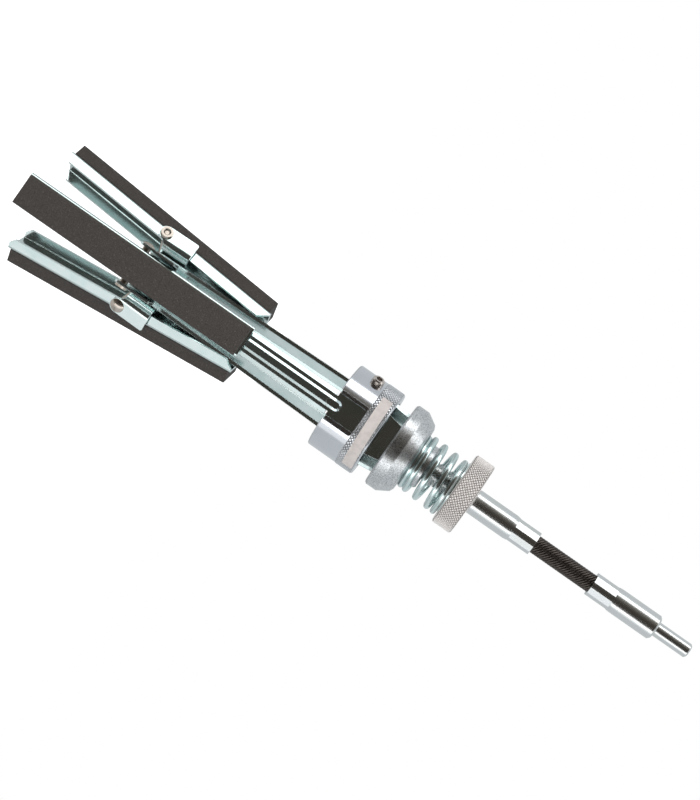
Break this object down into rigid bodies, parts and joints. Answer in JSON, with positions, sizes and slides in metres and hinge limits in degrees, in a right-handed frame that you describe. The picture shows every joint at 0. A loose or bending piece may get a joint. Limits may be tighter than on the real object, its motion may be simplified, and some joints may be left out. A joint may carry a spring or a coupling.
{
  "type": "cylinder hone",
  "caption": "Hand-drill cylinder hone: sprung arms carry abrasive stones outward as a threaded nut loads the cup on the spindle.",
  "frame": {"origin": "on the tool axis, at the shoulder where the drive shank leaves its ferrule", "axes": "+Z along the tool axis towards the free end of the drive shank, -Y through the first arm"},
  "size_m": [0.0558, 0.0492, 0.3106],
  "materials": {
    "bright_steel": "bright plated turned steel",
    "nut_steel": "knurled, nickel plated",
    "zinc_sheet": "bright zinc-plated sheet",
    "spring_steel": "zinc-plated spring wire",
    "cast_cup": "matt blasted and zinc-plated casting",
    "satin_carrier": "satin zinc-plated, knurled band",
    "dark_steel": "blackened steel screw",
    "black_flex": "black wound steel wire",
    "pin_steel": "ground steel pin",
    "nickel_rivet": "nickel-plated rivet",
    "abrasive": "bonded silicon carbide grit"
  },
  "bodies": {
    "drive": {"drive_end": "bright_steel", "flex_shaft_rear": "black_flex"},
    "flex_link": {"flex_shaft_link": "black_flex"},
    "head": {"arm_carrier": "satin_carrier", "spindle": "bright_steel", "set_screw": "dark_steel", "arm_pin_1": "pin_steel", "arm_pin_2": "pin_steel", "arm_pin_3": "pin_steel", "flex_shaft_front": "black_flex"},
    "cup": {"pressure_cup": "cast_cup", "compression_spring": "spring_steel"},
    "washer": {"thrust_washer": "zinc_sheet"},
    "nut": {"adjusting_nut": "nut_steel"},
    "arm_1": {"arm_1": "zinc_sheet", "clevis_1": "zinc_sheet", "stone_rivet_1": "nickel_rivet"},
    "stone_1": {"stone_holder_1": "zinc_sheet", "stone_1": "abrasive"},
    "arm_2": {"arm_2": "zinc_sheet", "clevis_2": "zinc_sheet", "stone_rivet_2": "nickel_rivet"},
    "stone_2": {"stone_holder_2": "zinc_sheet", "stone_2": "abrasive"},
    "arm_3": {"arm_3": "zinc_sheet", "clevis_3": "zinc_sheet", "stone_rivet_3": "nickel_rivet"},
    "stone_3": {"stone_holder_3": "zinc_sheet", "stone_3": "abrasive"}
  },
  "joints": [
    {"name": "flex_bend_a", "type": "hinge", "parent": "drive", "child": "flex_link", "pos_m": [0, 0, -0.043], "axis": [1, 0, 0], "range_deg": [-15, 15], "stiffness_Nm_per_rad": 3, "deforming": ["flex_shaft_rear", "flex_shaft_link", "flex_shaft_front"]},
    {"name": "flex_bend_b", "type": "hinge", "parent": "flex_link", "child": "head", "pos_m": [0, 0, -0.043], "axis": [0, 1, 0], "range_deg": [-15, 15], "stiffness_Nm_per_rad": 3, "deforming": ["flex_shaft_rear", "flex_shaft_link", "flex_shaft_front"]},
    {"name": "arm_1_swing", "type": "hinge", "parent": "head", "child": "arm_1", "pos_m": [0, -0.0094, -0.1347], "axis": [-1, 0, 0], "range_deg": [0, 20]},
    {"name": "stone_1_tilt", "type": "hinge", "parent": "arm_1", "child": "stone_1", "pos_m": [0, -0.01471, -0.2437], "axis": [-1, 0, 0], "range_deg": [-14.8, 0.7]},
    {"name": "arm_2_swing", "type": "hinge", "parent": "head", "child": "arm_2", "pos_m": [0.00814, 0.0047, -0.1347], "axis": [0.5, -0.866, 0], "range_deg": [0, 20]},
    {"name": "stone_2_tilt", "type": "hinge", "parent": "arm_2", "child": "stone_2", "pos_m": [0.01274, 0.00735, -0.2437], "axis": [0.5, -0.866, 0], "range_deg": [-15, 0.5]},
    {"name": "arm_3_swing", "type": "hinge", "parent": "head", "child": "arm_3", "pos_m": [-0.00814, 0.0047, -0.1347], "axis": [0.5, 0.866, 0], "range_deg": [0, 20]},
    {"name": "stone_3_tilt", "type": "hinge", "parent": "arm_3", "child": "stone_3", "pos_m": [-0.01274, 0.00735, -0.2437], "axis": [0.5, 0.866, 0], "range_deg": [-13.5, 2]},
    {"name": "cup_slide", "type": "slide", "parent": "head", "child": "cup", "axis": [0, 0, -1], "range_m": [0, 0.0056], "deforming": ["compression_spring"]},
    {"name": "nut_advance", "type": "slide", "parent": "head", "child": "washer", "axis": [0, 0, -1], "range_m": [0, 0.005], "deforming": ["compression_spring"]},
    {"name": "nut_turn", "type": "hinge", "parent": "washer", "child": "nut", "pos_m": [0, 0, -0.0898], "axis": [0, 0, -1], "range_deg": [0, 1440], "deforming": ["compression_spring"]}
  ],
  "couplings": [
    {"joint": "arm_2_swing", "follows": "arm_1_swing", "ratio": 1},
    {"joint": "arm_3_swing", "follows": "arm_1_swing", "ratio": 1},
    {"joint": "cup_slide", "follows": "arm_1_swing", "m_per_rad": 0.016043},
    {"joint": "nut_advance", "follows": "nut_turn", "m_per_rad": 0.00019894}
  ]
}
